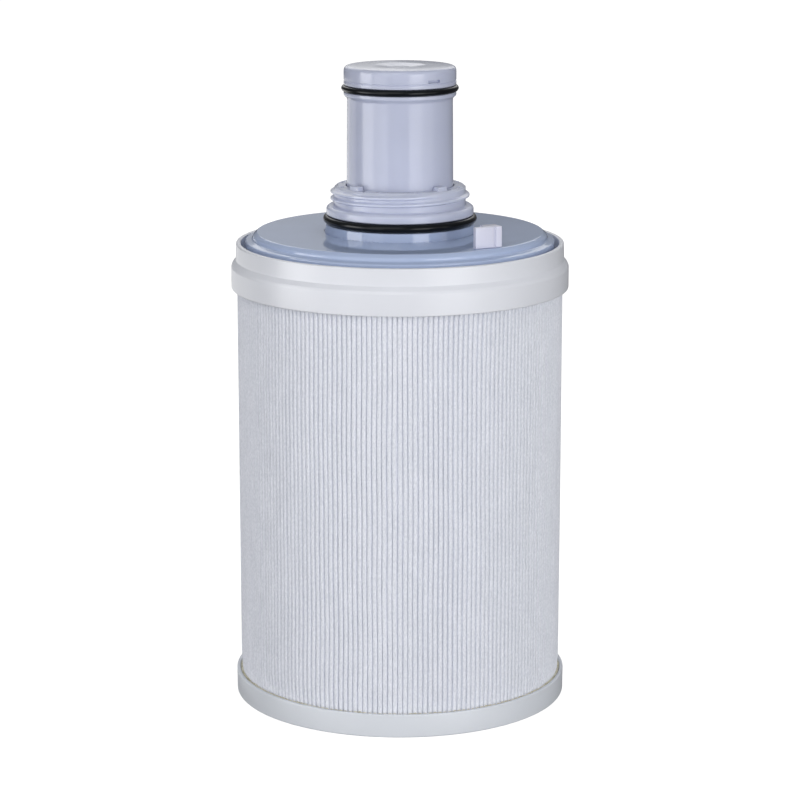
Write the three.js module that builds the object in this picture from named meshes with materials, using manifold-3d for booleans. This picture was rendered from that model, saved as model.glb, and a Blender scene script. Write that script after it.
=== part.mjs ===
// Replacement cartridge of a countertop water treatment unit: a pleated prefilter over a pressed
// carbon block, with a sealed lamp module standing in its threaded neck.
// Millimetres, +Z up, the axis of the cartridge on Z, underside at Z = 0, the front facing -Y.
import * as THREE from "three";
import { mergeVertices } from "three/addons/utils/BufferGeometryUtils.js";
import Module from "manifold-3d";

const wasm = await Module();
wasm.setup();

// Heights from the underside
const FLOOR = 3.0; // inside floor of the lower cap
const LOWER_RIM = 10.1;
const PACK_LOW = 6.3; // pleats and carbon stand between two adhesive beds
const PACK_HIGH = 188.0;
const SKIRT_LOW = 179.6;
const DISC_LOW = 190.6; // disc of the upper cap
const DISC_HIGH = 193.4;
const UPPER_RIM = 199.2;
const PLATE_TOP = 203.6;
const STEM_FOOT = 206.0;
const COLLAR_HEIGHT = 3.55; // over the plate

// Radii
const PLEAT_R = 70.0;
const PLEAT_DEPTH = 2.6; // open part of each fold
const PLEAT_BORE = 57.6;
const SKIRT_R = 72.4;
const SKIRT_BORE = 70.35;
const PLATE_R = 66.2;
const COLLAR_R = 31.6;
const LIP_R = 31.4;
const GROOVE_R = 29.2;
const THREAD_ROOT = 28.05;
const THREAD_CREST = 29.7;
const NECK_BORE = 23.1;
const STEM_R = 22.7;
const HEAD_R = 23.9;
const SLEEVE_R = 14.0;

const PLEATS = 205;
const THREAD_PITCH = 3.0; // right-handed
const THREAD_TURNS = 1.7;
const THREAD_START = -0.6; // in turns, counted from the front
const THREAD_FRONT = 15.0; // height of the crest at the front, over the plate
const THREAD_BURIED = 0.4; // depth of the ridge's root inside the neck

// Facets round a body
const LARGE = 48;
const MEDIUM = 32;
const SMALL = 20;

const paint = (color, roughness, metalness = 0) =>
  new THREE.MeshStandardMaterial({ color, roughness, metalness });
const WHITE_CAP = paint(0xd9dce4, 0.35);
const ADHESIVE = paint(0xa8a480, 0.4);
const PLEATED = paint(0xdfe2ea, 0.9);
const NET = paint(0xe6e6e6, 0.6);
const CARBON = paint(0x101012, 0.95);
const FOAM = paint(0xd8d8d8, 0.9);
const CORE = paint(0xd9d9d9, 0.6);
const BLUE_GREY = paint(0x9aa5ba, 0.12);
const MILKY = paint(0xb6bcd0, 0.35);
const RUBBER = paint(0x0c1015, 0.5);
const QUARTZ = paint(0xe6eef2, 0.05);
const SILICONE = paint(0xd8d8d4, 0.5);
const CERAMIC = paint(0xebe8e0, 0.6);
const TINNED = paint(0xbfbfc2, 0.4, 1);
const BOARD = paint(0x1a5229, 0.5);
const CASE = paint(0x8c291a, 0.3);
const FERRITE = paint(0x29292b, 0.7);
const COPPER = paint(0x9e4d24, 0.4, 1);

// A body turned about Z from an outline of [radius, height] points, given anticlockwise.
// An outline that leaves the axis is closed on itself.
function turned(outline, facets = MEDIUM) {
  const points = outline.map(([r, z]) => new THREE.Vector2(r, z));
  if (points[0].x > 0) points.push(points[0].clone());
  return new THREE.LatheGeometry(points, facets).rotateX(Math.PI / 2);
}

function tube(inner, outer, height, facets = MEDIUM) {
  return turned([[inner, 0], [outer, 0], [outer, height], [inner, height]], facets);
}

function rod(radius, height, facets = SMALL) {
  return new THREE.CylinderGeometry(radius, radius, height, facets)
    .rotateX(Math.PI / 2)
    .translate(0, 0, height / 2);
}

// An O-ring by its outer radius and section, centred on its own mid-height.
function oRing(outer, section, facets = MEDIUM) {
  return new THREE.TorusGeometry(outer - section / 2, section / 2, 8, facets);
}

// A block standing at a radius, turned to an azimuth counted from the front towards the right.
function blockAt(azimuth, radius, width, depth, low, high) {
  return new THREE.BoxGeometry(width, depth, high - low)
    .translate(0, -radius, (low + high) / 2)
    .rotateZ(THREE.MathUtils.degToRad(azimuth));
}

// --- joining and cutting ---

function solid(geometry) {
  const bare = geometry.clone();
  bare.deleteAttribute("normal");
  bare.deleteAttribute("uv");
  const merged = mergeVertices(bare, 1e-4);
  return new wasm.Manifold(
    new wasm.Mesh({
      numProp: 3,
      vertProperties: new Float32Array(merged.attributes.position.array),
      triVerts: new Uint32Array(merged.index.array),
    }),
  );
}

function geometryOf(body) {
  const { vertProperties, triVerts } = body.getMesh();
  const geometry = new THREE.BufferGeometry();
  geometry.setAttribute("position", new THREE.BufferAttribute(vertProperties, 3));
  geometry.setIndex(new THREE.BufferAttribute(triVerts, 1));
  return geometry;
}

function cut(geometry, tools) {
  return geometryOf(tools.reduce((body, tool) => body.subtract(solid(tool)), solid(geometry)));
}

function join(geometry, others) {
  return geometryOf(others.reduce((body, other) => body.add(solid(other)), solid(geometry)));
}

function place(parent, name, geometry, material, z = 0, x = 0, y = 0) {
  const mesh = new THREE.Mesh(geometry, material);
  mesh.name = name;
  mesh.position.set(x, y, z);
  parent.add(mesh);
  return mesh;
}

// --- filter body, heights from the underside ---

// A shallow cup that stands on a flat ring round its underside.
function lowerEndCap() {
  return turned(
    [
      [0, 0.8], [61.6, 0.8], [62.0, 0], [71.4, 0], [71.9, 0.5], [72.0, LOWER_RIM - 0.4],
      [71.7, LOWER_RIM], [SKIRT_BORE, LOWER_RIM], [SKIRT_BORE, FLOOR], [0, FLOOR],
    ],
    LARGE,
  );
}

// Skirt over the pleats, disc across the body, and a raised rim round the plate.
function upperEndCap() {
  return turned(
    [
      [34.8, DISC_LOW], [SKIRT_BORE, DISC_LOW], [SKIRT_BORE, SKIRT_LOW],
      [SKIRT_R - 0.4, SKIRT_LOW], [SKIRT_R, SKIRT_LOW + 0.5], [SKIRT_R, 187.6], [72.0, 189.4],
      [70.9, 190.9], [70.35, 192.4], [70.2, UPPER_RIM - 0.4], [69.8, UPPER_RIM],
      [68.2, UPPER_RIM], [68.2, DISC_HIGH], [34.8, DISC_HIGH],
    ],
    LARGE,
  );
}

// The pleated pack as one ring: open folds all round outside and a plain bore.
function pleatedPrefilter() {
  const shape = new THREE.Shape(
    Array.from({ length: 2 * PLEATS }, (_, k) => {
      const a = (k * Math.PI) / PLEATS;
      const r = PLEAT_R - (k % 2 ? PLEAT_DEPTH : 0);
      return new THREE.Vector2(r * Math.cos(a), r * Math.sin(a));
    }),
  );
  shape.holes.push(new THREE.Path().absarc(0, 0, PLEAT_BORE, 0, 2 * Math.PI, true));
  return new THREE.ExtrudeGeometry(shape, {
    depth: PACK_HIGH - PACK_LOW,
    bevelEnabled: false,
    curveSegments: LARGE / 2,
  });
}

function supportNet(height) {
  const windows = [];
  for (let row = 0; row < 3; row++)
    for (let k = 0; k < 4; k++)
      windows.push(blockAt(90 * k, 56.6, 62, 20, 6 + 58 * row, 58 + 58 * row));
  return cut(tube(56.3, 57.2, height), windows);
}

function coreTube(height) {
  const slots = [];
  for (let row = 0; row < 3; row++)
    for (let k = 0; k < 4; k++)
      slots.push(blockAt(90 * k + 45 * (row % 2), 25.6, 8, 8, 14 + 55 * row, 60 + 55 * row));
  return cut(tube(24.6, 26.6, height, SMALL), slots);
}

function corePlug() {
  return turned([[0, 0], [24.2, 0], [24.2, 3.7], [16, 3.7], [16, 7.7], [0, 7.7]], SMALL);
}

// A bevelled plate with a collar round its bore, set off from the flat by a narrow groove.
function topPlate() {
  return turned(
    [
      [29.5, 200.7], [36.0, 200.7], [62.6, 197.4], [63.2, 193.7], [PLATE_R, 193.7],
      [PLATE_R, 199.8], [65.7, 200.3], [62.95, 200.4], [62.95, 201.4], [62.4, 202.6],
      [61.2, PLATE_TOP], [32.6, PLATE_TOP], [32.6, PLATE_TOP - 0.4], [32.1, PLATE_TOP - 0.4],
      [COLLAR_R, PLATE_TOP + COLLAR_HEIGHT], [29.5, PLATE_TOP + COLLAR_HEIGHT],
    ],
    LARGE,
  );
}

// Stop that keys the cartridge in its housing: a slab along the plate's edge with a square heel.
function plateKey() {
  const outline = [
    [-6.3, -1.2], [2.3, -1.2], [2.7, -0.7], [3.1, -1.2], [6.0, -1.2], [6.0, 5.6], [-0.7, 5.6],
    [-0.7, 1.2], [-6.3, 1.2],
  ];
  const shape = new THREE.Shape(outline.map(([x, y]) => new THREE.Vector2(x, y)));
  return new THREE.ExtrudeGeometry(shape, { depth: 8.8, bevelEnabled: false });
}

// --- neck, heights from the plate's top ---

// Centre line of the thread's root, dipping into the neck at both ends so that the ridge runs out.
class ThreadPath extends THREE.Curve {
  getPoint(t, target = new THREE.Vector3()) {
    const turn = THREAD_START + THREAD_TURNS * t;
    const a = 2 * Math.PI * turn;
    const runOut = Math.min(1, 12 * Math.min(t, 1 - t));
    const r = THREAD_ROOT - THREAD_BURIED - 0.4 * (1 - runOut);
    return target.set(r * Math.sin(a), -r * Math.cos(a), THREAD_FRONT + THREAD_PITCH * turn);
  }
}

// The section's x runs along the axis and its y towards it, so the crest is at negative y.
function threadRidge() {
  const reach = THREAD_CREST - THREAD_ROOT + THREAD_BURIED;
  const section = new THREE.Shape([
    new THREE.Vector2(-1.1, 0),
    new THREE.Vector2(-0.3, -reach),
    new THREE.Vector2(0.3, -reach),
    new THREE.Vector2(1.1, 0),
  ]);
  return new THREE.ExtrudeGeometry(section, {
    steps: 48,
    bevelEnabled: false,
    extrudePath: new ThreadPath(),
  });
}

function threadedNeck() {
  const neck = turned([
    [NECK_BORE, -6.2], [34.4, -6.2], [34.4, -3.2], [GROOVE_R, -3.2], [GROOVE_R, 7.55],
    [LIP_R, 7.55], [LIP_R, 10.2], [30.5, 11.1], [THREAD_ROOT, 11.5], [THREAD_ROOT, 19.0], [27.3, 19.8], [26.8, 19.8], [26.8, 13.0],
    [NECK_BORE, 13.0],
  ]);
  return join(neck, [threadRidge()]);
}

// Bayonet ring in the mouth of the neck: four lugs, each with a slot beside it, and two shallow
// recesses between one lug and the next.
function lockRing() {
  const lugs = [];
  const cuts = [];
  for (let azimuth = 42.5; azimuth < 360; azimuth += 90) {
    lugs.push(blockAt(azimuth, 24.85, 4.8, 2.3, 1.0, 8.2));
    cuts.push(blockAt(azimuth + 9.6, 25.8, 2.4, 2.6, 2.6, 8));
    cuts.push(blockAt(azimuth + 31, 26.1, 3.0, 1.8, 4.8, 8));
    cuts.push(blockAt(azimuth + 65, 26.1, 3.0, 1.8, 4.8, 8));
  }
  return join(cut(tube(NECK_BORE, 26.5, 6.6), cuts), lugs);
}

// --- lamp module, heights from the foot of the stem ---

function stemTube() {
  return turned([
    [14.5, 0], [STEM_R, 0], [STEM_R, 20], [22.45, 54.7], [HEAD_R, 55.9], [HEAD_R, 57.3],
    [22.2, 57.5], [22.2, 60.1], [20.4, 60.1], [20.4, 3], [14.5, 3],
  ]);
}

function stemCap() {
  const cap = turned([
    [0, 0.8], [19.9, 0.8], [19.9, 0], [HEAD_R, 0], [HEAD_R, 6.1], [23.4, 7.3], [22.2, 7.9],
    [11.0, 7.9], [4.2, 7.3], [0, 7.3],
  ]);
  return cut(cap, [blockAt(37, HEAD_R, 5.4, 2.0, 2.3, 3.7)]);
}

// Test-tube shaped sleeve, closed below.
function quartzSleeve() {
  return turned(
    [
      [0, 0], [9.0, 2.4], [SLEEVE_R, 12], [SLEEVE_R, 170], [12.6, 170], [12.6, 12.6], [8.2, 4],
      [0, 1.6],
    ],
    SMALL,
  );
}

function coilBobbin() {
  return turned(
    [
      [7, 0], [19.8, 0], [19.8, 1.6], [11, 1.6], [11, 18.4], [19.8, 18.4], [19.8, 20], [7, 20],
    ],
    SMALL,
  );
}

// --- assembly ---

const cartridge = new THREE.Group();
const neck = new THREE.Group();
neck.position.z = PLATE_TOP;
const lampModule = new THREE.Group();
lampModule.position.z = STEM_FOOT;
const lamp = new THREE.Group();
lamp.position.z = -160;
const head = new THREE.Group();
head.position.z = 23.7;
lampModule.add(lamp, head);
const group = new THREE.Group();
group.add(cartridge, neck, lampModule);

const packHeight = PACK_HIGH - PACK_LOW;
place(cartridge, "lower_end_cap", lowerEndCap(), WHITE_CAP);
place(cartridge, "lower_adhesive", tube(58.3, 70.0, 2.7, LARGE), ADHESIVE, FLOOR + 0.3);
place(cartridge, "pleated_prefilter", pleatedPrefilter(), PLEATED, PACK_LOW);
place(cartridge, "upper_adhesive", tube(58.3, 70.0, 2.0, LARGE), ADHESIVE, PACK_HIGH + 0.3);
place(cartridge, "upper_end_cap", upperEndCap(), WHITE_CAP);
place(cartridge, "support_net", supportNet(packHeight), NET, PACK_LOW);
place(cartridge, "carbon_wrap", tube(55.2, 56.0, packHeight), PLEATED, PACK_LOW);
place(cartridge, "carbon_block", tube(27.0, 54.8, packHeight), CARBON, PACK_LOW);
place(cartridge, "lower_gasket", tube(27.0, 54.6, 2.7, SMALL), FOAM, FLOOR + 0.3);
place(cartridge, "upper_gasket", tube(34.8, 54.6, 2.0, SMALL), FOAM, PACK_HIGH + 0.3);
place(cartridge, "core_tube", coreTube(186.7), CORE, FLOOR + 0.3);
place(cartridge, "core_plug", corePlug(), CORE, FLOOR + 0.3);
place(cartridge, "top_plate", topPlate(), BLUE_GREY);
place(cartridge, "plate_key", plateKey(), MILKY, PLATE_TOP + 0.05, 36.3, -45.0).rotation.z =
  THREE.MathUtils.degToRad(27);

place(neck, "threaded_neck", threadedNeck(), MILKY);
place(neck, "lower_o_ring", oRing(32.9, 3.53), RUBBER, 5.55);
place(neck, "lock_ring", lockRing(), MILKY, 13.3);

place(lampModule, "stem_tube", stemTube(), MILKY);
place(lampModule, "stem_cap", stemCap(), MILKY, 60.4);
place(lampModule, "upper_o_ring", oRing(24.95, 2.62), RUBBER, 58.85);
place(lampModule, "sleeve_seal", oRing(18.6, 4.0, SMALL), RUBBER, 5.3);
place(lampModule, "sleeve_gland", tube(14.4, 20.1, 4.4, SMALL), CORE, 7.6);

place(lamp, "quartz_sleeve", quartzSleeve(), QUARTZ);
place(lamp, "lamp_cushion", tube(3.0, 6.4, 9.6, SMALL), SILICONE, 6.0);
place(lamp, "lower_lamp_base", rod(8.0, 8.0), CERAMIC, 16);
place(lamp, "uv_lamp_tube", tube(6.9, 7.8, 129.7, SMALL), QUARTZ, 24.3);
place(lamp, "upper_lamp_base", rod(8.0, 9.7), CERAMIC, 154.3);
place(lamp, "lower_lamp_spacer", tube(8.1, 12.2, 3.0, SMALL), SILICONE, 32);
place(lamp, "upper_lamp_spacer", tube(8.1, 12.2, 3.0, SMALL), SILICONE, 144);
place(lamp, "lamp_lead_left", rod(0.7, 19.2, 8), TINNED, 164.3, -4);
place(lamp, "lamp_lead_right", rod(0.7, 19.2, 8), TINNED, 164.3, 4);

place(head, "circuit_board", rod(19.6, 1.6), BOARD, 0.3);
place(head, "resonant_capacitor", new THREE.BoxGeometry(16, 7, 9.1), CASE, 6.75, 0, 6);
place(head, "ballast_choke", rod(4.5, 7.0, 16), FERRITE, 2.2, 0, -9);
place(head, "coil_bobbin", coilBobbin(), CORE, 14.3);
place(head, "secondary_coil", tube(11.3, 18.6, 16.2, SMALL), COPPER, 16.2);
place(head, "ferrite_core", rod(6.7, 20.6), FERRITE, 13.6);

export default group;
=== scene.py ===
"""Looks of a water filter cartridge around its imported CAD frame. Blender 4.5, metres, +Z up."""

import math
import random

import bmesh
import bpy
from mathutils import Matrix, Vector


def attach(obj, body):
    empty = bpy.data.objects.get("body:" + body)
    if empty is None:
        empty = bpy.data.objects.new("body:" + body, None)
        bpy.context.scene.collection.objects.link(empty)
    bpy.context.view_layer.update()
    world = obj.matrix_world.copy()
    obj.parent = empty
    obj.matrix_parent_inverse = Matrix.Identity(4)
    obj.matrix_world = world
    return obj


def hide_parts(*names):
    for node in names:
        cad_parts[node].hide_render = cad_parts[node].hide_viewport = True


MM = 0.001
TAU = 2 * math.pi

# Heights in millimetres, from the underside
CAP_FLOOR = 3.0
PACK_LOW = 6.3  # pleats and carbon stand between two adhesive beds
PACK_HIGH = 188.0
PLATE_TOP = 203.6
COLLAR_TOP = PLATE_TOP + 3.55
STEM_FOOT = 206.0
HEAD_FOOT = STEM_FOOT + 60.4
SLEEVE_FOOT = STEM_FOOT - 160

# Radii in millimetres, from the axis
SKIRT_R = 72.4
SKIRT_BORE = 70.35
PLATE_R = 66.2
COLLAR_BORE = 29.5
NECK_BORE = 23.1
STEM_R = 22.7
HEAD_R = 23.9

PLEATS = 205
SMOOTH_BELOW = 32  # edges under this many degrees are shaded smooth

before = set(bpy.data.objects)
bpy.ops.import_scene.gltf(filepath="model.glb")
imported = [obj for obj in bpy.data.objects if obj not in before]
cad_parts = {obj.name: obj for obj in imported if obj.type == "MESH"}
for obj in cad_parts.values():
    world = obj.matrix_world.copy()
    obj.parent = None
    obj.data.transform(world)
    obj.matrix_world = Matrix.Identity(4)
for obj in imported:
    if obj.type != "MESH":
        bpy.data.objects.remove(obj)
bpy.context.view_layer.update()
scene = bpy.context.scene


# --- outlines and turned bodies ---


def outline(points, steps=5):
    """A closed outline of (radius, height, fillet) corners, each fillet turned into an arc."""
    out = []
    count = len(points)
    for i, point in enumerate(points):
        here = Vector(point[:2])
        fillet = point[2] if len(point) > 2 else 0.0
        if fillet <= 0:
            out.append(tuple(here))
            continue
        before = (Vector(points[i - 1][:2]) - here).normalized()
        after = (Vector(points[(i + 1) % count][:2]) - here).normalized()
        angle = before.angle(after)
        if angle > math.pi - 0.02:  # the outline runs straight on
            out.append(tuple(here))
            continue
        reach = fillet / math.tan(angle / 2)
        for other in (points[i - 1], points[(i + 1) % count]):
            share = 0.48 if len(other) > 2 else 0.96  # two fillets share the side between them
            reach = min(reach, share * (Vector(other[:2]) - here).length)
        start, end = here + before * reach, here + after * reach
        for k in range(steps + 1):
            t = k / steps
            p = start * (1 - t) ** 2 + here * 2 * t * (1 - t) + end * t**2
            out.append(tuple(p))
    return out


def finish_mesh(name, bm, body, material, replaces, angle=SMOOTH_BELOW):
    """Turns a mesh under construction into a piece on a body, in place of these CAD nodes."""
    bmesh.ops.remove_doubles(bm, verts=bm.verts, dist=1e-7)
    bmesh.ops.recalc_face_normals(bm, faces=bm.faces)
    mesh = bpy.data.meshes.new(name)
    bm.to_mesh(mesh)
    bm.free()
    mesh.shade_smooth()
    mesh.set_sharp_from_angle(angle=math.radians(angle))
    piece = bpy.data.objects.new(name, mesh)
    scene.collection.objects.link(piece)
    piece.data.materials.append(material)
    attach(piece, body)
    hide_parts(*replaces)
    return piece


def loft(section, turns=256):
    """A ring closed round the axis. section(azimuth) gives a closed outline of (radius, height)
    in millimetres; the azimuth counts from the front towards the right."""
    bm = bmesh.new()
    rings = []
    for k in range(turns):
        azimuth = TAU * k / turns
        s, c = math.sin(azimuth), math.cos(azimuth)
        rings.append(
            [bm.verts.new((r * s * MM, -r * c * MM, z * MM)) for r, z in section(azimuth)]
        )
    for k in range(turns):
        near, far = rings[k], rings[(k + 1) % turns]
        for i in range(len(near)):
            j = (i + 1) % len(near)
            bm.faces.new((near[i], far[i], far[j], near[j]))
    return bm


def turned(points, turns=256, lift=0.0, steps=5):
    """A body turned round the axis from outline corners, raised by a lift."""
    shape = [(r, z + lift) for r, z in outline(points, steps)]
    bm = loft(lambda azimuth: shape, turns)
    bmesh.ops.dissolve_degenerate(bm, edges=bm.edges, dist=1e-8)
    return bm


def cut(piece, *tools):
    """Cuts tool objects out of a piece and removes the tools."""
    for tool in tools:
        modifier = piece.modifiers.new("cut", "BOOLEAN")
        modifier.operation = "DIFFERENCE"
        modifier.solver = "EXACT"
        modifier.object = tool
    bpy.context.view_layer.update()
    graph = bpy.context.evaluated_depsgraph_get()
    mesh = bpy.data.meshes.new_from_object(piece.evaluated_get(graph))
    piece.modifiers.clear()
    piece.data = mesh
    for tool in tools:
        bpy.data.objects.remove(tool)
    mesh.shade_smooth()
    mesh.set_sharp_from_angle(angle=math.radians(SMOOTH_BELOW))


# --- materials ---


class Nodes:
    """Builds a material's node tree with short calls."""

    def __init__(self, name):
        self.material = bpy.data.materials.new(name)
        self.material.use_nodes = True
        self.tree = self.material.node_tree
        self.shader = self.tree.nodes["Principled BSDF"]
        self.place = self.tree.nodes.new("ShaderNodeTexCoord").outputs["Object"]

    def set(self, **values):
        """Sets shader inputs to plain values. An underscore stands for a space."""
        for key, value in values.items():
            self.shader.inputs[key.replace("_", " ")].default_value = value

    def link(self, source, target):
        self.tree.links.new(source, target)

    def stretched(self, scale):
        node = self.tree.nodes.new("ShaderNodeMapping")
        node.inputs["Scale"].default_value = scale
        self.link(self.place, node.inputs["Vector"])
        return node.outputs["Vector"]

    def noise(self, scale, detail=3.0, stretch=None, roughness=0.5):
        node = self.tree.nodes.new("ShaderNodeTexNoise")
        node.inputs["Scale"].default_value = scale
        node.inputs["Detail"].default_value = detail
        node.inputs["Roughness"].default_value = roughness
        self.link(self.stretched(stretch) if stretch else self.place, node.inputs["Vector"])
        return node.outputs["Fac"]

    def ramp(self, value, low, high, colors):
        """Fades from the first colour at low to the second at high."""
        node = self.tree.nodes.new("ShaderNodeValToRGB")
        first, last = node.color_ramp.elements
        first.position, last.position = low, high
        first.color, last.color = (*colors[0], 1), (*colors[1], 1)
        self.link(value, node.inputs["Fac"])
        return node.outputs["Color"]

    def span(self, value, low, high):
        node = self.tree.nodes.new("ShaderNodeMapRange")
        node.inputs["To Min"].default_value = low
        node.inputs["To Max"].default_value = high
        self.link(value, node.inputs["Value"])
        return node.outputs["Result"]

    def add(self, a, b, weight):
        """a + b * weight"""
        node = self.tree.nodes.new("ShaderNodeMath")
        node.operation = "MULTIPLY_ADD"
        self.link(b, node.inputs[0])
        node.inputs[1].default_value = weight
        self.link(a, node.inputs[2])
        return node.outputs["Value"]

    def bump(self, height, strength, distance):
        node = self.tree.nodes.new("ShaderNodeBump")
        node.inputs["Strength"].default_value = strength
        node.inputs["Distance"].default_value = distance
        self.link(height, node.inputs["Height"])
        self.link(node.outputs["Normal"], self.shader.inputs["Normal"])


def srgb(r, g, b):
    """An 8-bit sRGB colour as linear light."""
    return tuple(
        v / 12.92 if v <= 0.04045 else ((v + 0.055) / 1.055) ** 2.4
        for v in (r / 255, g / 255, b / 255)
    )


def plastic(name, color, rough, vary=0.02, grain=2600, bump=0.05, milky=0.0):
    """Moulded plastic: faint clouding of the colour, uneven gloss and a fine skin texture."""
    m = Nodes(name)
    base = srgb(*color)
    dark = tuple(v * (1 - vary) for v in base)
    light = tuple(min(1, v * (1 + vary)) for v in base)
    cloud = m.noise(45, 4)
    m.link(m.ramp(cloud, 0.3, 0.7, (dark, light)), m.shader.inputs["Base Color"])
    m.link(m.span(m.noise(160, 4), *rough), m.shader.inputs["Roughness"])
    height = m.add(m.noise(grain, 2), m.noise(grain / 12, 3), 0.8)
    m.bump(height, bump, 0.00006)
    if milky:
        m.set(Subsurface_Weight=milky, Subsurface_Scale=0.003, Subsurface_Radius=(1.0, 1.0, 1.1))
    return m.material


def rubber(name, color):
    """Moulded rubber, with a faint bloom over the black."""
    m = Nodes(name)
    base = srgb(*color)
    m.link(
        m.ramp(m.noise(400, 5), 0.3, 0.75, (base, tuple(v * 1.6 + 0.001 for v in base))),
        m.shader.inputs["Base Color"],
    )
    m.link(m.span(m.noise(700, 3), 0.17, 0.28), m.shader.inputs["Roughness"])
    m.set(Specular_IOR_Level=0.25)
    m.bump(m.noise(3500, 3), 0.12, 0.00005)
    return m.material


def nonwoven(name, light, dark):
    """Bonded polyester fibres: a fine random grain, slightly drawn out along the folds."""
    m = Nodes(name)
    grain = m.noise(1500, 5, (1.0, 1.0, 0.55), 0.65)
    blotch = m.noise(150, 3, (1.0, 1.0, 0.5))
    mixed = m.add(grain, blotch, 0.2)
    m.link(m.ramp(mixed, 0.46, 0.76, (srgb(*dark), srgb(*light))), m.shader.inputs["Base Color"])
    m.set(Roughness=0.9, Specular_IOR_Level=0.15)
    fibres = m.add(m.noise(2600, 5, (1.0, 1.0, 0.5), 0.7), grain, 0.6)
    m.bump(fibres, 0.4, 0.00014)
    return m.material


def mineral(name, color, speck, rough=0.9, scale=1800, strength=0.5):
    """Pressed grains, ceramic or foam: specks of a second colour and a granular surface."""
    m = Nodes(name)
    m.link(
        m.ramp(m.noise(scale, 6, None, 0.7), 0.4, 0.62, (srgb(*color), srgb(*speck))),
        m.shader.inputs["Base Color"],
    )
    m.set(Roughness=rough)
    m.bump(m.noise(scale * 0.8, 5, None, 0.7), strength, 0.0001)
    return m.material


def metal(name, color, stretch):
    """Drawn or wound metal, streaked across the directions that stretch shrinks."""
    m = Nodes(name)
    base = srgb(*color)
    m.link(
        m.ramp(m.noise(900, 4, stretch), 0.3, 0.7, (tuple(v * 0.8 for v in base), base)),
        m.shader.inputs["Base Color"],
    )
    m.set(Metallic=1.0)
    m.link(m.span(m.noise(1500, 3, stretch), 0.25, 0.4), m.shader.inputs["Roughness"])
    return m.material


def glass(name):
    """Clear quartz with faint unevenness in its polish."""
    m = Nodes(name)
    m.set(Transmission_Weight=1.0, IOR=1.46, Base_Color=(0.97, 0.985, 1.0, 1))
    m.link(m.span(m.noise(60, 3), 0.01, 0.04), m.shader.inputs["Roughness"])
    return m.material


WHITE = plastic("white_cap", (229, 231, 238), (0.26, 0.36), vary=0.012, grain=2400)
# The upper cap's white plastic, its colour darkened as painted shade because the lower cap gets
# less light.
LOWER_WHITE_PAINTED_SHADE = plastic("white_cap_painted_shade", (221, 225, 232), (0.28, 0.38), vary=0.012, grain=2400)
BLUE_GREY = plastic("blue_grey_plastic", (178, 193, 224), (0.05, 0.08), grain=1200, bump=0.02)
COLLAR = plastic("milky_plastic", (203, 208, 228), (0.16, 0.24), milky=0.3)
STEM = plastic("stem_plastic", (193, 198, 219), (0.13, 0.19), milky=0.2)
KEY = plastic("key_plastic", (212, 213, 231), (0.2, 0.3))
CORE = plastic("core_plastic", (222, 222, 220), (0.4, 0.55), vary=0.03, grain=1500, bump=0.1)
NET = plastic("net_plastic", (228, 229, 230), (0.45, 0.6), vary=0.03, grain=1200, bump=0.2)
SILICONE = plastic("clear_silicone", (214, 214, 206), (0.4, 0.5), vary=0.03, grain=1500, bump=0.1)
BOARD = plastic("board", (32, 88, 48), (0.3, 0.45), vary=0.08, grain=900, bump=0.1)
CASE = plastic("capacitor_case", (142, 46, 30), (0.2, 0.3), vary=0.05, grain=900, bump=0.08)
RUBBER = rubber("black_rubber", (7, 10, 14))
MEDIA = nonwoven("pleated_media", (239, 241, 249), (221, 224, 233))
WRAP = nonwoven("wrap_fabric", (234, 234, 236), (215, 216, 220))
CARBON = mineral("pressed_carbon", (14, 14, 15), (40, 40, 42))
FOAM = mineral("foam_gasket", (216, 216, 214), (190, 190, 188), 0.95, 1200)
CERAMIC = mineral("lamp_ceramic", (236, 233, 225), (222, 219, 210), 0.5, 900, 0.1)
FERRITE = mineral("ferrite", (38, 38, 41), (62, 62, 66), 0.6, 1500, 0.2)
TINNED = metal("lead_metal", (190, 190, 194), (1.0, 1.0, 0.05))
COPPER = metal("copper_winding", (176, 92, 48), (0.02, 0.02, 1.0))
QUARTZ = glass("quartz")


def adhesive_material():
    """Cured polyurethane: honey-grey, glossy, cloudy in places."""
    m = Nodes("adhesive")
    m.link(
        m.ramp(m.noise(260, 5), 0.3, 0.7, (srgb(196, 190, 160), srgb(226, 222, 206))),
        m.shader.inputs["Base Color"],
    )
    m.link(m.span(m.noise(300, 3), 0.15, 0.4), m.shader.inputs["Roughness"])
    m.bump(m.noise(900, 3), 0.25, 0.0002)
    return m.material


ADHESIVE = adhesive_material()


# --- filter body ---

# The lower cap wears the white plastic darkened as painted shade.
finish_mesh(
    "lower_cap_shell",
    turned(
        [
            (0.0, 0.8), (61.6, 0.8, 0.3), (62.0, 0.02, 0.25), (71.9, 0.02, 0.8),
            (72.0, 10.1, 0.55), (70.45, 10.1, 0.5), (70.35, CAP_FLOOR, 1.0), (0.0, CAP_FLOOR),
        ],
        320,
    ),
    "cartridge", LOWER_WHITE_PAINTED_SHADE, ["lower_end_cap"],
)

finish_mesh(
    "upper_cap_shell",
    turned(
        [
            (34.8, 190.6), (SKIRT_BORE, 190.6, 1.0), (SKIRT_BORE, 179.65, 0.3),
            (SKIRT_R, 179.65, 0.7), (SKIRT_R, 188.9, 1.2), (71.9, 190.15, 0.8), (70.4, 191.9, 0.5),
            (70.2, 199.2, 0.7), (68.2, 199.2, 0.5), (68.2, 193.4, 0.6), (34.8, 193.4),
        ],
        320,
    ),
    "cartridge", WHITE, ["upper_end_cap"],
)


def smooth(t):
    """Eases from 0 to 1 as t goes from 0 to 1."""
    t = min(1.0, max(0.0, t))
    return t * t * (3 - 2 * t)


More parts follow.
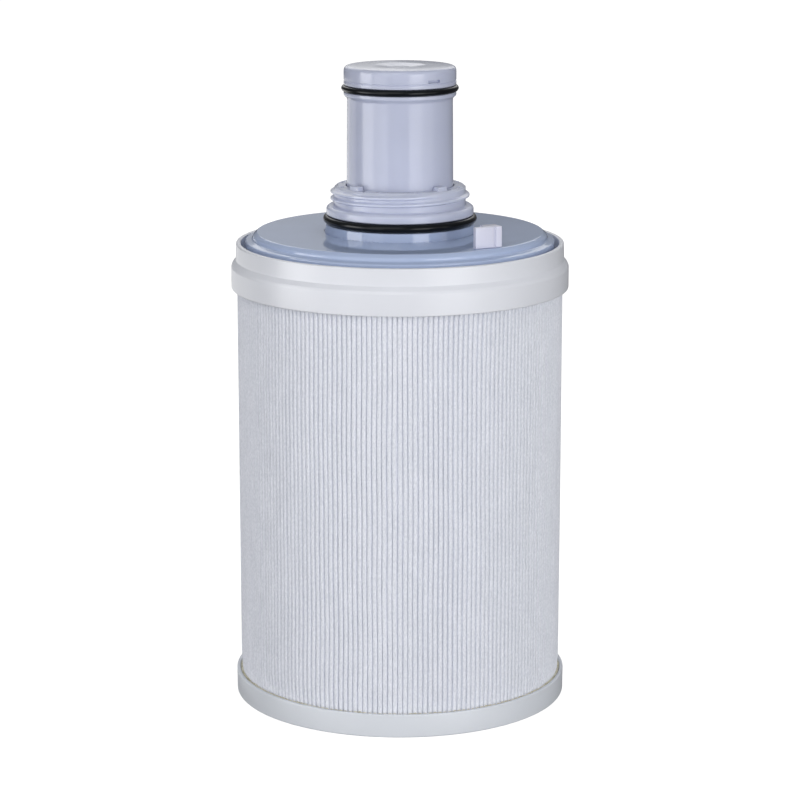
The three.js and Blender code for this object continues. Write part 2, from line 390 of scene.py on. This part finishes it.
def pleat_pack():
    """The folded medium: round-backed folds with narrow gaps, slightly wandering as they run up,
    and drawn in at the foot where they stand in the adhesive."""
    rng = random.Random(7)
    across = (-0.5, -0.43, -0.35, -0.19, 0.0, 0.19, 0.35, 0.43)  # places over a fold, in folds
    depth = (1.05, 0.6, 0.22, 0.05, 0.0, 0.05, 0.22, 0.6)  # and how deep they lie
    low, high = PACK_LOW - 0.1, PACK_HIGH
    levels = 44
    bore = 57.8
    drift_all, drift_own = 0.035, 0.014  # sideways wandering of the pack and of one fold, in folds
    waves = [
        (rng.uniform(0.5, 1.0), rng.uniform(1.0, 3.4), rng.uniform(0, TAU), rng.uniform(0.02, 0.3))
        for _ in range(7)
    ]
    shift = [rng.gauss(0, 0.022) for _ in range(PLEATS)]
    proud = [rng.gauss(0, 0.05) for _ in range(PLEATS)]
    own = [
        (rng.uniform(0.6, 2.2), rng.uniform(0, TAU), rng.gauss(0, drift_own))
        for _ in range(PLEATS)
    ]

    def place(k, u, d, t):
        drift = sum(a * math.sin(TAU * (f * t) + p + s * k) for a, f, p, s in waves) * drift_all
        f, p, a = own[k]
        drift += a * math.sin(TAU * f * t + p) + shift[k]
        azimuth = TAU * (k + u + drift) / PLEATS
        foot = (low + (high - low) * t - 9.0) / 9.0
        radius = 69.45 + 0.43 * smooth(foot)
        wander = 0.05 * math.sin(TAU * 1.3 * t + 0.9 * k) * a / drift_own
        radius += min(0.1, max(-0.3, proud[k] + wander)) * (1 - abs(2 * u))
        return azimuth, radius - d

    bm = bmesh.new()
    outer, inner = [], []
    for level in range(levels + 1):
        t = level / levels
        z = (low + (high - low) * t) * MM
        ring_out, ring_in = [], []
        for k in range(PLEATS):
            for u, d in zip(across, depth):
                azimuth, r = place(k, u, d, t)
                if u == -0.5:  # the bottom of a gap belongs to both of its folds
                    before = place((k - 1) % PLEATS, 0.5, d, t)[0]
                    if k == 0:
                        before -= TAU
                    azimuth = (azimuth + before) / 2
                s, c = math.sin(azimuth), math.cos(azimuth)
                ring_out.append(bm.verts.new((r * s * MM, -r * c * MM, z)))
                if level in (0, levels):
                    ring_in.append(bm.verts.new((bore * s * MM, -bore * c * MM, z)))
        outer.append(ring_out)
        if ring_in:
            inner.append(ring_in)
    rings = [inner[0], *outer, inner[1]]
    n = len(outer[0])
    for near, far in zip(rings, rings[1:] + rings[:1]):
        for i in range(n):
            j = (i + 1) % n
            bm.faces.new((near[i], near[j], far[j], far[i]))
    return bm


finish_mesh("pleated_pack", pleat_pack(), "cartridge", MEDIA,
            ["pleated_prefilter"], 60)


def adhesive_bed():
    """Potting compound: flat under the pack, drawn up unevenly between the folds and the cup."""
    rng = random.Random(11)
    waves = [(rng.uniform(0.1, 0.34), rng.randint(3, 60), rng.uniform(0, TAU)) for _ in range(12)]

    def section(azimuth):
        lift = sum(a * math.sin(f * azimuth + p) for a, f, p in waves)
        climb = 0.25 * math.cos(PLEATS * azimuth)  # higher in the gaps between folds
        top = 9.55 + 0.2 * lift + climb
        return [
            (58.3, 3.3), (70.3, 3.3), (70.3, top + 0.3), (70.0, top + 0.25), (69.4, top + 0.3),
            (68.7, top + 0.1), (68.0, top - 0.9), (67.0, 6.0), (58.3, 6.0),
        ]

    return loft(section, PLEATS * 6)


finish_mesh("adhesive_bed_lower", adhesive_bed(), "cartridge", ADHESIVE,
            ["lower_adhesive"], 60)
finish_mesh(
    "adhesive_bed_upper",
    turned([(58.3, 188.3), (70.0, 188.3, 0.4), (70.0, 190.3, 0.4), (58.3, 190.3)], 128),
    "cartridge", ADHESIVE, ["upper_adhesive"],
)

# --- plate and key ---

finish_mesh(
    "plate_shell",
    turned(
        [
            (COLLAR_BORE, 200.7), (36.0, 200.7), (62.6, 197.4, 1.0), (63.2, 193.7),
            (PLATE_R, 193.7, 0.5), (PLATE_R, 200.15, 0.7), (63.1, 200.7, 1.3), (62.85, 202.2, 1.8),
            (61.2, PLATE_TOP, 1.0), (32.5, PLATE_TOP, 0.15), (32.45, PLATE_TOP - 0.35),
            (32.1, PLATE_TOP - 0.35), (31.6, COLLAR_TOP, 0.4), (COLLAR_BORE, COLLAR_TOP, 0.2),
        ],
        320,
        steps=10,
    ),
    "cartridge", BLUE_GREY, ["top_plate"],
)


def prism(points, low, high, soft=0.25, segments=3):
    """An upright prism on a closed plan of (x, y) points in millimetres, its edges rounded."""
    bm = bmesh.new()
    bottom = [bm.verts.new((x * MM, y * MM, low * MM)) for x, y in points]
    top = [bm.verts.new((x * MM, y * MM, high * MM)) for x, y in points]
    n = len(points)
    for i in range(n):
        j = (i + 1) % n
        bm.faces.new((bottom[i], bottom[j], top[j], top[i]))
    bm.faces.new(list(reversed(bottom)))
    bm.faces.new(top)
    bmesh.ops.bevel(
        bm, geom=bm.edges[:], offset=soft * MM, segments=segments, profile=0.6,
        affect="EDGES", clamp_overlap=True,
    )
    return bm


def turn_and_move(points, degrees, dx, dy):
    """A plan turned about its own origin, which then moves to (dx, dy)."""
    c, s = math.cos(math.radians(degrees)), math.sin(math.radians(degrees))
    return [(x * c - y * s + dx, x * s + y * c + dy) for x, y in points]


finish_mesh(
    "key_block",
    prism(
        turn_and_move(
            [
                (-6.3, -1.2), (2.2, -1.2), (2.8, -0.3), (3.4, -1.2), (6.0, -1.2),
                (6.0, 5.6), (-0.7, 5.6), (-0.7, 1.2), (-6.3, 1.2),
            ],
            27, 36.3, -45.0,
        ),
        PLATE_TOP + 0.05, PLATE_TOP + 8.85, 0.35,
    ),
    "cartridge", KEY, ["plate_key"],
)

# --- neck ---


def neck():
    """O-ring groove, lip and a right-hand thread that runs out at both ends."""
    low, high = PLATE_TOP + 11.6, PLATE_TOP + 19.0
    rows = 46
    pitch, reach, root = 3.0, 1.65, 28.05
    crest_front = PLATE_TOP + 15.0  # height of the crest at the front
    crest_half, foot_half = 0.28, 1.05  # half-widths of the ridge at its crest and its foot
    middle, half_length, run_out = 0.25, 0.87, 0.12  # of the ridge, in turns from the front
    inside = outline(
        [
            (27.3, PLATE_TOP + 19.8, 0.3), (26.8, PLATE_TOP + 19.8, 0.3),
            (26.8, PLATE_TOP + 13.0), (NECK_BORE, PLATE_TOP + 13.0), (NECK_BORE, PLATE_TOP - 6.2),
            (34.4, PLATE_TOP - 6.2), (34.4, PLATE_TOP - 3.2), (29.2, PLATE_TOP - 3.2),
            (29.2, PLATE_TOP + 7.55, 0.2), (31.5, PLATE_TOP + 7.55, 0.4),
            (31.45, PLATE_TOP + 10.4, 1.2), (30.4, PLATE_TOP + 11.2, 0.6),
            (28.3, PLATE_TOP + 11.5, 0.3),
        ]
    )

    def section(azimuth):
        passes = [azimuth / TAU + turn for turn in (-1, 0, 1)]
        points = []
        for row in range(rows + 1):
            z = low + (high - low) * row / rows
            along = min(passes, key=lambda turns: abs(z - crest_front - pitch * turns))
            away = abs(z - crest_front - pitch * along)
            ease = smooth((half_length - abs(along - middle)) / run_out)
            rise = 1 - smooth((away - crest_half) / (foot_half - crest_half))
            points.append((root + reach * rise * ease, z))
        return points + inside

    return loft(section, 288)


finish_mesh("neck_shell", neck(), "cartridge", COLLAR, ["threaded_neck"], 40)


def o_ring(outer, section, height, turns=256, around=28):
    """An O-ring with the fine parting flash that moulding leaves on its outside."""
    flash = 0.05
    r = section / 2
    points = [
        (
            outer - flash - r + (r + (flash if k == 0 else 0.0)) * math.cos(TAU * k / around),
            height + r * math.sin(TAU * k / around),
        )
        for k in range(around)
    ]
    return loft(lambda azimuth: points, turns)


finish_mesh("o_ring_lower", o_ring(32.9, 3.53, PLATE_TOP + 5.55), "cartridge",
            RUBBER, ["lower_o_ring"], 60)


def bayonet_ring():
    """Four raised lugs, each with a deep slot beside it, and two recesses between neighbours."""
    foot = PLATE_TOP + 13.3
    inner, middle, outer = NECK_BORE + 0.05, 24.9, 26.7
    height, lug, slot, recess = 6.6, 1.6, 4.2, 2.0
    ramp = 0.45  # the ends of each mark slope over this many degrees
    soft = 0.22
    marks = []  # (azimuth in degrees, half-width in degrees, rise inside, rise outside)
    for k in range(4):
        marks += [
            (42.5 + 90 * k, 5.5, lug, lug),
            (52.1 + 90 * k, 2.9, -slot, -slot),
            (73.5 + 90 * k, 3.6, 0, -recess),
            ((107.5 + 90 * k) % 360, 3.6, 0, -recess),
        ]

    def section(azimuth):
        degrees = math.degrees(azimuth)
        top_in = top_out = foot + height
        for centre, half, rise_in, rise_out in marks:
            inside = half - abs(degrees - centre)
            if inside >= 0:
                edge = min(1.0, inside / ramp)
                top_in, top_out = top_in + rise_in * edge, top_out + rise_out * edge
        return [
            (inner, foot), (outer, foot), (outer, top_out - soft), (outer - soft, top_out),
            (middle + 0.1, top_out), (middle, max(top_out, min(top_in, top_out + 0.1))),
            (middle - 0.1, top_in), (inner + soft, top_in), (inner, top_in - soft),
        ]

    return loft(section, 720)


finish_mesh("bayonet_shell", bayonet_ring(), "bayonet", COLLAR,
            ["lock_ring"], 35)

# --- lamp module ---

finish_mesh(
    "stem_shell",
    turned(
        [
            (14.5, 0.0), (STEM_R, 0.0, 0.5), (STEM_R, 20.0), (22.45, 54.7, 1.6),
            (HEAD_R, 55.9, 0.9), (HEAD_R, 57.4, 0.3), (22.2, 57.5, 0.2), (22.2, 60.1, 0.2),
            (20.4, 60.1), (20.4, 3.0), (14.5, 3.0),
        ],
        256, STEM_FOOT,
    ),
    "lamp_module", STEM, ["stem_tube"],
)

finish_mesh("o_ring_upper", o_ring(24.95, 2.62, STEM_FOOT + 58.85), "lamp_module",
            RUBBER, ["upper_o_ring"], 60)


def box_tool(azimuth, radius, width, depth, low, high, soft=0.2):
    """A cutting block standing at a radius, turned to an azimuth in degrees."""
    half = width / 2
    plan = [(-half, -depth / 2), (half, -depth / 2), (half, depth / 2), (-half, depth / 2)]
    a = math.radians(azimuth)
    plan = turn_and_move(plan, azimuth, radius * math.sin(a), -radius * math.cos(a))
    bm = prism(plan, low, high, soft, 2)
    mesh = bpy.data.meshes.new("tool")
    bm.to_mesh(mesh)
    bm.free()
    tool = bpy.data.objects.new("tool", mesh)
    scene.collection.objects.link(tool)
    return tool


cap = finish_mesh(
    "stem_cap_shell",
    turned(
        [
            (0.0, 0.8), (19.9, 0.8), (19.9, 0.0), (HEAD_R, 0.0, 0.3), (HEAD_R, 1.5, 0.12),
            (23.6, 1.62, 0.1), (23.6, 1.98, 0.1), (HEAD_R, 2.1, 0.12), (HEAD_R, 7.9, 2.3),
            (11.0, 7.9, 1.0), (4.2, 7.3, 9.0), (0.0, 7.3),
        ],
        256, HEAD_FOOT, 6,
    ),
    "lamp_module", STEM, ["stem_cap"],
)
cut(cap, box_tool(37, 23.4, 6.4, 2.6, HEAD_FOOT + 2.3, HEAD_FOOT + 3.6))

# --- inner pieces that show when the lamp module is lifted ---


def bowl(radius, low, depth, steps=14):
    """Points of a round end, from the axis out to the wall."""
    angles = [math.pi / 2 * k / steps for k in range(steps + 1)]
    return [(radius * math.sin(a), low + depth * (1 - math.cos(a))) for a in angles]


def ring_points(inner, outer, low, high, soft):
    return [(inner, low, soft), (outer, low, soft), (outer, high, soft), (inner, high, soft)]


def rod_points(radius, low, high, soft):
    return [(0.0, low), (radius, low, soft), (radius, high, soft), (0.0, high)]


finish_mesh(
    "quartz_sleeve_shell",
    turned(
        bowl(14.0, 0.0, 12.0) + [(14.0, 170.0, 0.4), (12.6, 170.0, 0.4)]
        + list(reversed(bowl(12.6, 1.6, 11.0))),
        128, SLEEVE_FOOT,
    ),
    "lamp_module", QUARTZ, ["quartz_sleeve"],
)
finish_mesh(
    "lamp_cushion_shell",
    turned(
        [
            (3.0, 6.0, 0.4), (6.4, 6.0, 0.5), (6.4, 9.0, 0.3), (5.7, 9.3, 0.3), (5.7, 12.2, 0.3),
            (6.4, 12.5, 0.3), (6.4, 15.6, 0.5), (3.0, 15.6, 0.4),
        ],
        96, SLEEVE_FOOT,
    ),
    "lamp_module", SILICONE, ["lamp_cushion"],
)
for name, low, high in (("lower_lamp_base", 16.0, 24.0), ("upper_lamp_base", 154.3, 164.0)):
    mid = (low + high) / 2
    finish_mesh(
        name + "_shell",
        turned(
            [
                (0.0, low), (8.0, low, 0.5), (8.0, mid - 1.4, 0.2), (7.7, mid - 1.2, 0.2),
                (7.7, mid - 0.6, 0.2), (8.0, mid - 0.4, 0.2), (8.0, high, 0.5), (0.0, high),
            ],
            96, SLEEVE_FOOT,
        ),
        "lamp_module", CERAMIC, [name],
    )
finish_mesh(
    "uv_lamp_tube_shell",
    turned(ring_points(6.9, 7.8, 24.3, 154.0, 0.2), 96, SLEEVE_FOOT),
    "lamp_module", QUARTZ, ["uv_lamp_tube"],
)
for name, low in (("lower_lamp_spacer", 32.0), ("upper_lamp_spacer", 144.0)):
    finish_mesh(
        name + "_shell",
        turned(
            [
                (8.1, low, 0.3), (11.4, low, 0.4), (12.2, low + 1.0, 0.5), (12.2, low + 2.0, 0.5),
                (11.4, low + 3.0, 0.4), (8.1, low + 3.0, 0.3),
            ],
            96, SLEEVE_FOOT,
        ),
        "lamp_module", SILICONE, [name],
    )
for name, side in (("lamp_lead_left", -4.0), ("lamp_lead_right", 4.0)):
    lead = turned(rod_points(0.7, 164.3, 183.5, 0.15), 24, SLEEVE_FOOT)
    bmesh.ops.translate(lead, verts=lead.verts, vec=(side * MM, 0, 0))
    finish_mesh(name + "_shell", lead, "lamp_module", TINNED, [name])
finish_mesh("sleeve_seal_ring", o_ring(18.6, 4.0, STEM_FOOT + 5.3, 128, 24), "lamp_module",
            RUBBER, ["sleeve_seal"], 60)
finish_mesh(
    "sleeve_gland_shell",
    turned(ring_points(14.4, 20.1, 7.6, 12.0, 0.4), 96, STEM_FOOT),
    "lamp_module", CORE, ["sleeve_gland"],
)

core = finish_mesh(
    "core_tube_shell",
    turned(ring_points(24.6, 26.6, 3.3, 190.0, 0.4), 128),
    "cartridge", CORE, ["core_tube"],
)
cut(
    core,
    *(
        box_tool(90 * k + 45 * (row % 2), 25.6, 8, 8, 17.3 + 55 * row, 63.3 + 55 * row, 1.2)
        for row in range(3)
        for k in range(4)
    ),
)
finish_mesh(
    "core_plug_shell",
    turned(
        [
            (0.0, 3.3), (24.2, 3.3, 0.4), (24.2, 7.0, 0.5), (16.0, 7.0, 0.6), (16.0, 11.0, 0.8),
            (6.0, 11.0, 0.4), (5.4, 9.6, 0.6), (0.0, 9.6),
        ],
        96,
    ),
    "cartridge", CORE, ["core_plug"],
)
finish_mesh(
    "carbon_block_shell",
    turned(ring_points(27.0, 54.8, PACK_LOW, PACK_HIGH, 0.8), 160),
    "cartridge", CARBON, ["carbon_block"],
)
finish_mesh(
    "carbon_wrap_shell",
    turned(ring_points(55.2, 56.0, PACK_LOW, PACK_HIGH, 0.2), 160),
    "cartridge", WRAP, ["carbon_wrap"],
)
for name, inner, low, high in (
    ("lower_gasket", 27.0, 3.3, 6.0), ("upper_gasket", 34.8, PACK_HIGH + 0.3, PACK_HIGH + 2.3),
):
    finish_mesh(
        name + "_shell",
        turned(ring_points(inner, 54.6, low, high, 0.5), 128),
        "cartridge", FOAM, [name],
    )

# pieces closed inside the stem or behind the pleats
for node, material in {
    "support_net": NET, "circuit_board": BOARD, "resonant_capacitor": CASE,
    "ballast_choke": FERRITE, "coil_bobbin": CORE, "secondary_coil": COPPER,
    "ferrite_core": FERRITE,
}.items():
    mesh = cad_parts[node].data
    mesh.materials.clear()
    mesh.materials.append(material)

# --- floor, light and camera ---


def floor():
    """A white floor for the camera alone: the lights reach below its level."""
    mesh = bpy.data.meshes.new("floor")
    reach = 60
    corners = [(-reach, -reach, 0), (reach, -reach, 0), (reach, reach, 0), (-reach, reach, 0)]
    mesh.from_pydata(corners, [], [(0, 1, 2, 3)])
    ground = bpy.data.objects.new("floor", mesh)
    scene.collection.objects.link(ground)
    m = Nodes("floor_paint")
    m.link(
        m.ramp(m.noise(3, 3), 0.3, 0.7, ((0.22, 0.22, 0.22), (0.24, 0.24, 0.24))),
        m.shader.inputs["Base Color"],
    )
    m.set(Roughness=0.9, Specular_IOR_Level=0.1)
    m.set(Emission_Color=(1, 1, 1, 1), Emission_Strength=1.0)
    mesh.materials.append(m.material)
    ground.visible_diffuse = ground.visible_glossy = ground.visible_transmission = False
    ground.visible_shadow = False


floor()


def studio_world():
    """A dim room, lighter overhead than at eye level."""
    world = bpy.data.worlds.new("studio")
    scene.world = world
    world.use_nodes = True
    tree = world.node_tree
    backdrop = tree.nodes["Background"]
    backdrop.inputs["Color"].default_value = (0.97, 0.985, 1.0, 1)
    split = tree.nodes.new("ShaderNodeSeparateXYZ")
    tree.links.new(tree.nodes.new("ShaderNodeTexCoord").outputs["Generated"], split.inputs[0])
    fade = tree.nodes.new("ShaderNodeMapRange")
    fade.interpolation_type = "SMOOTHSTEP"
    for key, value in {"From Min": 0.0, "From Max": 0.8, "To Min": 0.1, "To Max": 0.3}.items():
        fade.inputs[key].default_value = value
    tree.links.new(split.outputs["Z"], fade.inputs["Value"])
    tree.links.new(fade.outputs["Result"], backdrop.inputs["Strength"])


studio_world()


def softbox(
    name, azimuths, elevations, radiance, distance=1.3, height=PLATE_TOP, lights=True, shines=True
):
    """A rectangular light that fills these angles, in degrees, as seen from a height on the axis
    and from a distance in metres. Azimuths count from the front to the right. Without lights it
    only shows in gloss, and without shines it never does."""
    azimuth, elevation = (math.radians(sum(pair) / 2) for pair in (azimuths, elevations))
    light = bpy.data.lights.new(name, "AREA")
    light.shape = "RECTANGLE"
    light.size, light.size_y = (
        2 * distance * math.tan(math.radians(pair[1] - pair[0]) / 2)
        for pair in (azimuths, elevations)
    )
    light.energy = radiance * math.pi * light.size * light.size_y
    lamp = bpy.data.objects.new(name, light)
    scene.collection.objects.link(lamp)
    away = Vector(
        (
            math.sin(azimuth) * math.cos(elevation),
            -math.cos(azimuth) * math.cos(elevation),
            math.sin(elevation),
        )
    )
    lamp.location = Vector((0, 0, height * MM)) + away * distance
    lamp.rotation_euler = (-away).to_track_quat("-Z", "Y").to_euler()
    lamp.visible_camera = False
    lamp.visible_diffuse = lights
    lamp.visible_glossy = shines


# the key on the right, a bright strip on the left and weak light between them
softbox("right_box", (20, 49), (-4, 22), 4.0)
softbox("right_low", (20, 49), (-28, -4), 2.1)
softbox("right_side", (49, 76), (-28, 20), 0.95)
softbox("front_fill", (-26, 20), (-4, 22), 0.52)
softbox("left_front", (-60, -26), (-28, 22), 1.55)
softbox("left_box", (-88, -60), (-21, -5), 3.3)
softbox("left_upper", (-88, -60), (-5, 22), 4.8, lights=False)
# from above, and from behind for the views of the back
softbox("front_high", (-45, 0), (22, 52), 1.35)
softbox("back_high", (150, 210), (24, 50), 1.5)
softbox("left_back", (-165, -112), (-24, -4), 1.0, lights=False)
softbox("back_fill", (158, 202), (-40, -2), 1.9, shines=False)
# the dim wall that the plate and the top of the stem mirror
softbox("backdrop_left", (180, 191), (1, 20), 0.26, 1.6)
softbox("backdrop_right", (168, 180), (1, 20), 0.04, 1.6)
softbox("backdrop_wide", (152, 208), (1, 20), 0.1, 1.7)
softbox("backdrop_high", (156, 204), (8, 22), 0.92, 0.6, STEM_FOOT + 68)

AIM = Vector((0, 0, 0.1292))
CAMERA_DISTANCE = 1.2343
CAMERA_PITCH = math.radians(12.5925)  # looking down

camera_data = bpy.data.cameras.new("camera")
camera_data.lens = 127.95
camera_data.sensor_width = 36
camera_data.clip_end = 60
camera = bpy.data.objects.new("camera", camera_data)
scene.collection.objects.link(camera)
from_aim = Vector((0, -math.cos(CAMERA_PITCH), math.sin(CAMERA_PITCH)))
camera.location = AIM + CAMERA_DISTANCE * from_aim
camera.rotation_euler = (math.pi / 2 - CAMERA_PITCH, 0, 0)
scene.camera = camera
scene.view_settings.view_transform = "Standard"
